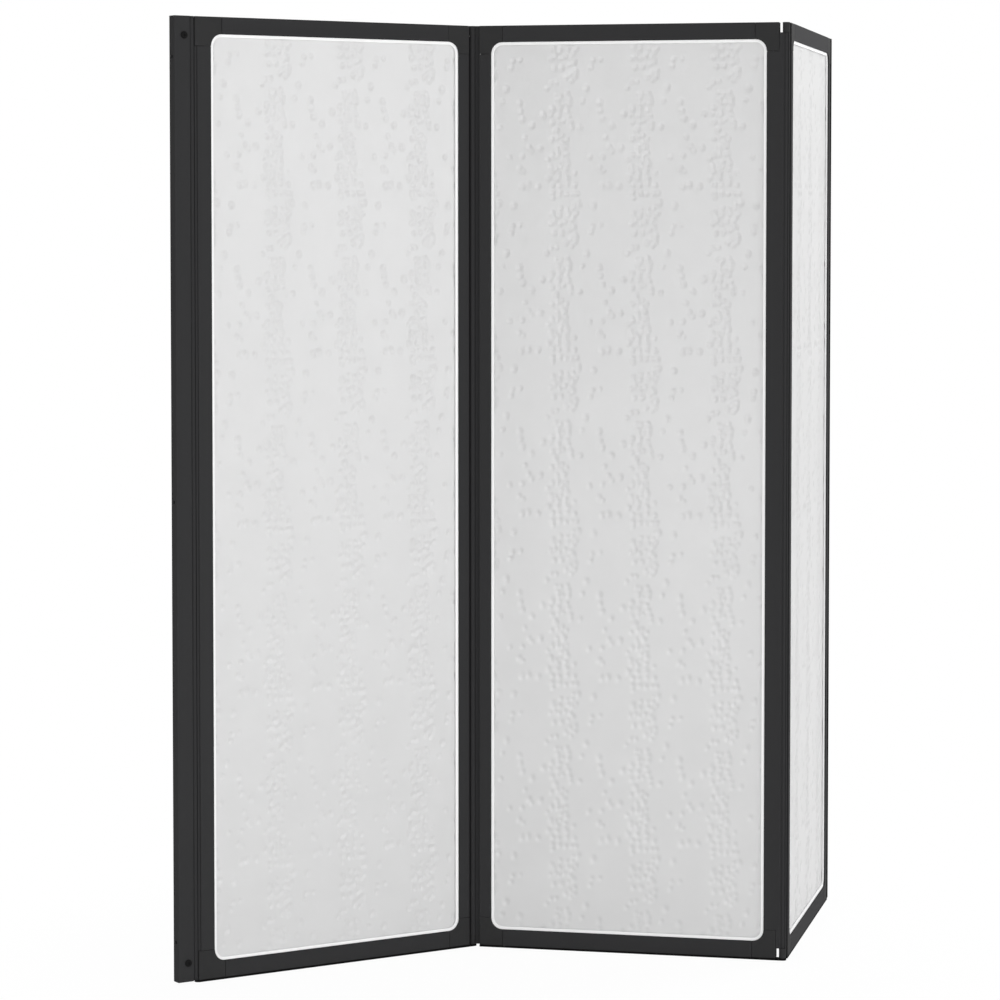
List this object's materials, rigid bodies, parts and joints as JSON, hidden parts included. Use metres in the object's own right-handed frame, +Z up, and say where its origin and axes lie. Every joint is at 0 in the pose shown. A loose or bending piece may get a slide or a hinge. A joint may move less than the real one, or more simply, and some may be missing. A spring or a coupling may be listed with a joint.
{
  "type": "half height shower screen",
  "caption": "Half height folding shower screen: framed translucent panels on interlocking hinges, carried by an upright wall channel.",
  "frame": {"origin": "centre line of the channel's wall face, 10 mm above the channel's lower end", "axes": "+Z up, +X away from the wall along the first panel, -Y towards the room"},
  "size_m": [1.1197, 0.3308, 1.32],
  "materials": {
    "black_extrusion": "black extruded plastic, satin",
    "black_moulding": "black moulded plastic, fine grain",
    "rain_pane": "translucent sheet with a raised rain-drop pattern",
    "white_gasket": "white soft gasket",
    "black_strip": "black soft strip",
    "black_screw": "blackened steel"
  },
  "bodies": {
    "wall": {"wall_channel": "black_extrusion", "wall_pivot_post": "black_extrusion", "wall_screw_top": "black_screw", "wall_screw_bottom": "black_screw", "wall_post_plug_top": "black_moulding", "wall_post_plug_bottom": "black_moulding"},
    "panel_1": {"panel_1_stile_left": "black_extrusion", "panel_1_stile_right": "black_extrusion", "panel_1_rail_top": "black_extrusion", "panel_1_rail_bottom": "black_extrusion", "panel_1_corner_top_left": "black_moulding", "panel_1_corner_top_right": "black_moulding", "panel_1_corner_bottom_left": "black_moulding", "panel_1_corner_bottom_right": "black_moulding", "panel_1_pane": "rain_pane", "panel_1_glazing_seal": "white_gasket", "panel_1_bottom_seal": "black_strip"},
    "panel_2": {"panel_2_stile_left": "black_extrusion", "panel_2_stile_right": "black_extrusion", "panel_2_rail_top": "black_extrusion", "panel_2_rail_bottom": "black_extrusion", "panel_2_corner_top_left": "black_moulding", "panel_2_corner_top_right": "black_moulding", "panel_2_corner_bottom_left": "black_moulding", "panel_2_corner_bottom_right": "black_moulding", "panel_2_pane": "rain_pane", "panel_2_glazing_seal": "white_gasket", "panel_2_bottom_seal": "black_strip"},
    "panel_3": {"panel_3_stile_left": "black_extrusion", "panel_3_stile_right": "black_extrusion", "panel_3_rail_top": "black_extrusion", "panel_3_rail_bottom": "black_extrusion", "panel_3_corner_top_left": "black_moulding", "panel_3_corner_top_right": "black_moulding", "panel_3_corner_bottom_left": "black_moulding", "panel_3_corner_bottom_right": "black_moulding", "panel_3_pane": "rain_pane", "panel_3_glazing_seal": "white_gasket", "panel_3_bottom_seal": "black_strip", "panel_3_edge_trim": "black_strip", "panel_3_edge_plug_top": "black_moulding", "panel_3_edge_plug_bottom": "black_moulding"}
  },
  "joints": [
    {"name": "wall_pivot", "type": "hinge", "parent": "wall", "child": "panel_1", "pos_m": [0.0285, 0, 0], "axis": [0, 0, 1], "range_deg": [-45, 45]},
    {"name": "hinge_1", "type": "hinge", "parent": "panel_1", "child": "panel_2", "pos_m": [0.4775, 0, 0], "axis": [0, 0, 1], "range_deg": [-50, 45]},
    {"name": "hinge_2", "type": "hinge", "parent": "panel_2", "child": "panel_3", "pos_m": [0.79534, -0.31784, 0], "axis": [0, 0, 1], "range_deg": [-90, 5]}
  ]
}
